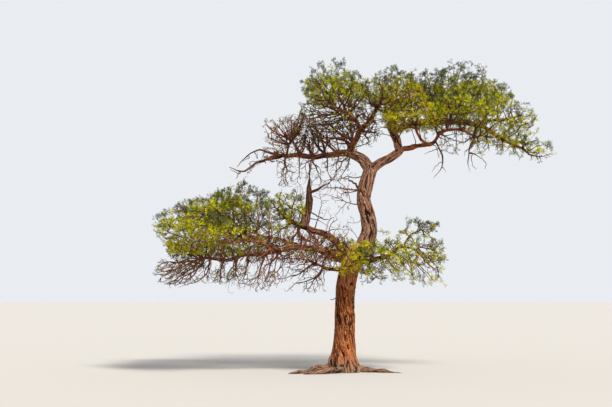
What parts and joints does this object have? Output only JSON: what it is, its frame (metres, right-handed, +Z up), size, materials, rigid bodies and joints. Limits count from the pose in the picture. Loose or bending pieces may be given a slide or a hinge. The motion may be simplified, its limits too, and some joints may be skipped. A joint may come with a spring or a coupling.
{
  "type": "acacia tree",
  "caption": "Whole flat-topped savanna acacia with a swaying trunk, spreading boughs, a high crown, a lower tier of foliage and bare dead limbs.",
  "frame": {"origin": "centre of the flat cut under the trunk, at ground level", "axes": "+Z up, +X to the right along the crown's broad face, the face in the picture looks along -Y"},
  "size_m": [9.14, 4.7, 6.97],
  "materials": {
    "bark": "deeply fissured",
    "dead_wood": "weathered",
    "foliage": "matte leaves",
    "bare_twigs": "matte twigs"
  },
  "bodies": {
    "root": {"trunk": "bark", "root_left": "bark", "root_front_left": "bark", "root_right": "bark", "bough_left": "bark", "bare_arm_low": "dead_wood", "bare_arm_high": "dead_wood", "bough_left_rising": "bark", "bough_left_upright": "bark", "bough_top_left": "bark", "bough_back_left": "bark", "bough_right": "bark", "bough_right_upright": "bark", "bough_right_outer": "bark", "bough_far_right": "bark", "bough_top_right": "bark", "bough_right_shoulder": "bark", "bough_back_centre": "bark", "bough_back_right": "bark", "bough_front_centre": "bark", "bough_front_right": "bark", "dead_drooper_inner": "dead_wood", "dead_drooper_outer": "dead_wood", "low_bough_left": "bark", "snag": "dead_wood", "snag_arm": "dead_wood", "low_bough_long": "bark", "low_bough_inner": "bark", "low_bough_outer": "bark", "low_bough_back_left": "bark", "low_bough_front_left": "bark", "low_bough_right": "bark", "low_right_upper": "bark", "low_bough_back": "bark", "low_bough_front": "bark", "mass_top_left": "foliage", "mass_top_right": "foliage", "mass_top_centre": "foliage", "mass_right_shoulder": "foliage", "mass_top_left_back": "foliage", "mass_back_centre": "foliage", "mass_back_right": "foliage", "mass_front_right": "foliage", "mass_front_centre": "foliage", "mass_left_shoulder": "bare_twigs", "mass_right_flank": "foliage", "mass_far_right": "foliage", "mass_low_left_top": "foliage", "mass_low_left_outer": "foliage", "mass_low_left_inner": "foliage", "mass_low_left_back": "foliage", "mass_low_left_front": "foliage", "mass_low_left_tail": "bare_twigs", "mass_low_left_under": "bare_twigs", "mass_tangle": "bare_twigs", "mass_low_right_inner": "foliage", "mass_low_right_outer": "foliage", "mass_low_right_tip": "foliage", "mass_trunk_front": "foliage", "mass_low_back": "foliage"}
  },
  "joints": []
}
